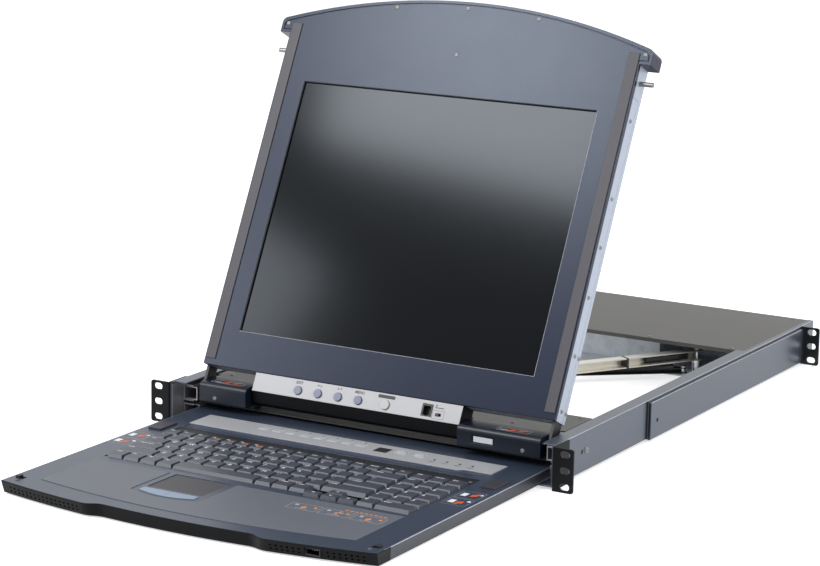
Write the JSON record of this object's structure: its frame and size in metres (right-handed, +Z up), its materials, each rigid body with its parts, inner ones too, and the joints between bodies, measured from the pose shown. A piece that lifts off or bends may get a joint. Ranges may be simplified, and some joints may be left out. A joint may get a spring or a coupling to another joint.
{
  "type": "rackmount lcd console drawer",
  "caption": "One-unit rack drawer with a tilting screen on its own carriage, a sliding keyboard tray with touchpad, rack ears and folding cable arms.",
  "frame": {"origin": "centre of the front rack slot pattern, on the visible front face of the front ears", "axes": "+X to the right seen from the front, +Y to the back of the rack, +Z up"},
  "size_m": [0.4826, 0.9624, 0.4267],
  "materials": {
    "galvanised_steel": "galvanised sheet, satin",
    "ear_paint": "dark blue-grey powder coat",
    "olive_plate": "dark grey plate, satin",
    "board": "circuit board",
    "connector": "plated shells",
    "screw": "plated",
    "navy_paint": "dark blue metallic paint",
    "palm_film": "printed film",
    "black_plastic": "matt",
    "grey_pad": "fine matt",
    "silver_strip": "silver sheet",
    "rubber": "matt",
    "screen_glass": "dark, glossy",
    "pale_shell": "pale violet-grey side panels",
    "key_plastic": "fine matt",
    "blue_button": "fine matt",
    "round_button": "smooth"
  },
  "bodies": {
    "frame": {"rail_left": "galvanised_steel", "rail_right": "galvanised_steel", "ear_left": "ear_paint", "ear_right": "ear_paint", "rear_base": "galvanised_steel", "rear_cover": "olive_plate", "main_board": "board", "rear_connectors": "connector", "slide_outer_members": "galvanised_steel", "arm_bracket": "galvanised_steel", "frame_screws": "screw"},
    "keyboard_drawer": {"drawer_tray": "navy_paint", "drawer_deck": "navy_paint", "drawer_handle": "navy_paint", "palm_rest": "palm_film", "keyboard_frame": "black_plastic", "touchpad": "grey_pad", "status_strip": "silver_strip", "indicators": "black_plastic", "deck_pads": "rubber", "usb_port": "black_plastic", "drawer_slides": "galvanised_steel", "drawer_screws": "screw"},
    "lcd_carriage": {"carriage_base": "olive_plate", "carriage_cover": "olive_plate", "hinge_block_left": "navy_paint", "hinge_block_right": "navy_paint", "hinge_pins": "galvanised_steel", "carriage_slides": "galvanised_steel", "carriage_screws": "screw"},
    "lcd_panel": {"lcd_bezel": "navy_paint", "lcd_screen": "screen_glass", "lcd_back_shell": "pale_shell", "rubber_strips": "rubber", "hinge_arms": "black_plastic", "chin_housing": "navy_paint", "chin_face": "silver_strip", "service_jack": "black_plastic", "lcd_screws": "screw"},
    "keys_upper_rows": {"keys_upper_rows": "key_plastic"},
    "keys_letter_rows": {"keys_letter_rows": "key_plastic"},
    "keys_bottom_row": {"keys_bottom_row": "key_plastic"},
    "space_bar": {"space_bar": "key_plastic"},
    "keys_side_block": {"keys_side_block": "key_plastic"},
    "rear_bracket_left": {"rear_bracket_left": "galvanised_steel"},
    "rear_bracket_right": {"rear_bracket_right": "galvanised_steel"},
    "touchpad_button_left": {"touchpad_button_left": "blue_button"},
    "touchpad_button_right": {"touchpad_button_right": "blue_button"},
    "release_catch_left": {"release_catch_left": "black_plastic"},
    "release_catch_right": {"release_catch_right": "black_plastic"},
    "deck_buttons": {"deck_buttons": "blue_button"},
    "menu_buttons": {"menu_buttons": "round_button"},
    "power_button": {"power_button": "round_button"},
    "mode_switch": {"mode_switch": "blue_button"},
    "lock_pin_left": {"lock_pin_left": "screw"},
    "lock_pin_right": {"lock_pin_right": "screw"},
    "lcd_arm_rear_link": {"lcd_arm_rear_link": "galvanised_steel"},
    "lcd_arm_front_link": {"lcd_arm_front_link": "galvanised_steel"},
    "keyboard_arm_rear_link": {"keyboard_arm_rear_link": "black_plastic"},
    "keyboard_arm_front_link": {"keyboard_arm_front_link": "galvanised_steel"}
  },
  "joints": [
    {"name": "rear_bracket_left_slide", "type": "slide", "parent": "frame", "child": "rear_bracket_left", "axis": [0, 1, 0], "range_m": [-0.09, 0.16]},
    {"name": "rear_bracket_right_slide", "type": "slide", "parent": "frame", "child": "rear_bracket_right", "axis": [0, 1, 0], "range_m": [-0.09, 0.16]},
    {"name": "keyboard_drawer_slide", "type": "slide", "parent": "frame", "child": "keyboard_drawer", "axis": [0, 1, 0], "range_m": [0, 0.273]},
    {"name": "lcd_carriage_slide", "type": "slide", "parent": "frame", "child": "lcd_carriage", "axis": [0, 1, 0], "range_m": [0, 0.34]},
    {"name": "lcd_hinge", "type": "hinge", "parent": "lcd_carriage", "child": "lcd_panel", "pos_m": [0, 0.04, 0.0115], "axis": [1, 0, 0], "range_deg": [0, 116.2]},
    {"name": "keys_upper_rows_press", "type": "slide", "parent": "keyboard_drawer", "child": "keys_upper_rows", "axis": [0, 0, -1], "range_m": [0, 0.0023], "stiffness_N_per_m": 3000, "springref_m": -0.0015},
    {"name": "keys_letter_rows_press", "type": "slide", "parent": "keyboard_drawer", "child": "keys_letter_rows", "axis": [0, 0, -1], "range_m": [0, 0.0023], "stiffness_N_per_m": 3000, "springref_m": -0.0015},
    {"name": "keys_bottom_row_press", "type": "slide", "parent": "keyboard_drawer", "child": "keys_bottom_row", "axis": [0, 0, -1], "range_m": [0, 0.0023], "stiffness_N_per_m": 1500, "springref_m": -0.0015},
    {"name": "space_bar_press", "type": "slide", "parent": "keyboard_drawer", "child": "space_bar", "axis": [0, 0, -1], "range_m": [0, 0.0023], "stiffness_N_per_m": 500, "springref_m": -0.0015},
    {"name": "keys_side_block_press", "type": "slide", "parent": "keyboard_drawer", "child": "keys_side_block", "axis": [0, 0, -1], "range_m": [0, 0.0023], "stiffness_N_per_m": 2500, "springref_m": -0.0015},
    {"name": "touchpad_button_left_press", "type": "slide", "parent": "keyboard_drawer", "child": "touchpad_button_left", "axis": [0, 0, -1], "range_m": [0, 0.0008], "stiffness_N_per_m": 1500, "springref_m": -0.001},
    {"name": "release_catch_left_slide", "type": "slide", "parent": "keyboard_drawer", "child": "release_catch_left", "axis": [1, 0, 0], "range_m": [0, 0.004], "stiffness_N_per_m": 400, "springref_m": -0.003},
    {"name": "touchpad_button_right_press", "type": "slide", "parent": "keyboard_drawer", "child": "touchpad_button_right", "axis": [0, 0, -1], "range_m": [0, 0.0008], "stiffness_N_per_m": 1500, "springref_m": -0.001},
    {"name": "release_catch_right_slide", "type": "slide", "parent": "keyboard_drawer", "child": "release_catch_right", "axis": [-1, 0, 0], "range_m": [0, 0.004], "stiffness_N_per_m": 400, "springref_m": -0.003},
    {"name": "deck_buttons_press", "type": "slide", "parent": "keyboard_drawer", "child": "deck_buttons", "axis": [0, 0, -1], "range_m": [0, 0.0005], "stiffness_N_per_m": 2500, "springref_m": -0.0008},
    {"name": "menu_buttons_press", "type": "slide", "parent": "lcd_panel", "child": "menu_buttons", "axis": [0, 0.8973, -0.4415], "range_m": [0, 0.001], "stiffness_N_per_m": 1500, "springref_m": -0.001},
    {"name": "power_button_press", "type": "slide", "parent": "lcd_panel", "child": "power_button", "axis": [0, 0.8973, -0.4415], "range_m": [0, 0.001], "stiffness_N_per_m": 800, "springref_m": -0.001},
    {"name": "mode_switch_slide", "type": "slide", "parent": "lcd_panel", "child": "mode_switch", "axis": [1, 0, 0], "range_m": [0, 0.0016]},
    {"name": "lock_pin_left_slide", "type": "slide", "parent": "lcd_panel", "child": "lock_pin_left", "axis": [1, 0, 0], "range_m": [0, 0.01], "stiffness_N_per_m": 300, "springref_m": -0.004},
    {"name": "lock_pin_right_slide", "type": "slide", "parent": "lcd_panel", "child": "lock_pin_right", "axis": [-1, 0, 0], "range_m": [0, 0.01], "stiffness_N_per_m": 300, "springref_m": -0.004},
    {"name": "lcd_arm_rear_pivot", "type": "hinge", "parent": "frame", "child": "lcd_arm_rear_link", "pos_m": [0.146, 0.49, 0.003], "axis": [0, 0, 1], "range_deg": [-52.67, 0.3]},
    {"name": "lcd_arm_middle_pivot", "type": "hinge", "parent": "lcd_arm_rear_link", "child": "lcd_arm_front_link", "pos_m": [0.02525, 0.299, 0.003], "axis": [0, 0, 1], "range_deg": [-0.3, 105.34]},
    {"name": "keyboard_arm_rear_pivot", "type": "hinge", "parent": "frame", "child": "keyboard_arm_rear_link", "pos_m": [0.137, 0.474, -0.0125], "axis": [0, 0, 1], "range_deg": [-37.48, 0.3]},
    {"name": "keyboard_arm_middle_pivot", "type": "hinge", "parent": "keyboard_arm_rear_link", "child": "keyboard_arm_front_link", "pos_m": [-0.03907, 0.326, -0.0125], "axis": [0, 0, 1], "range_deg": [-0.3, 74.97]}
  ],
  "couplings": [
    {"joint": "lcd_arm_rear_pivot", "follows": "lcd_carriage_slide", "rad_per_m": -2.6882},
    {"joint": "lcd_arm_middle_pivot", "follows": "lcd_carriage_slide", "rad_per_m": 5.3764},
    {"joint": "keyboard_arm_rear_pivot", "follows": "keyboard_drawer_slide", "rad_per_m": -2.3772},
    {"joint": "keyboard_arm_middle_pivot", "follows": "keyboard_drawer_slide", "rad_per_m": 4.7545}
  ]
}
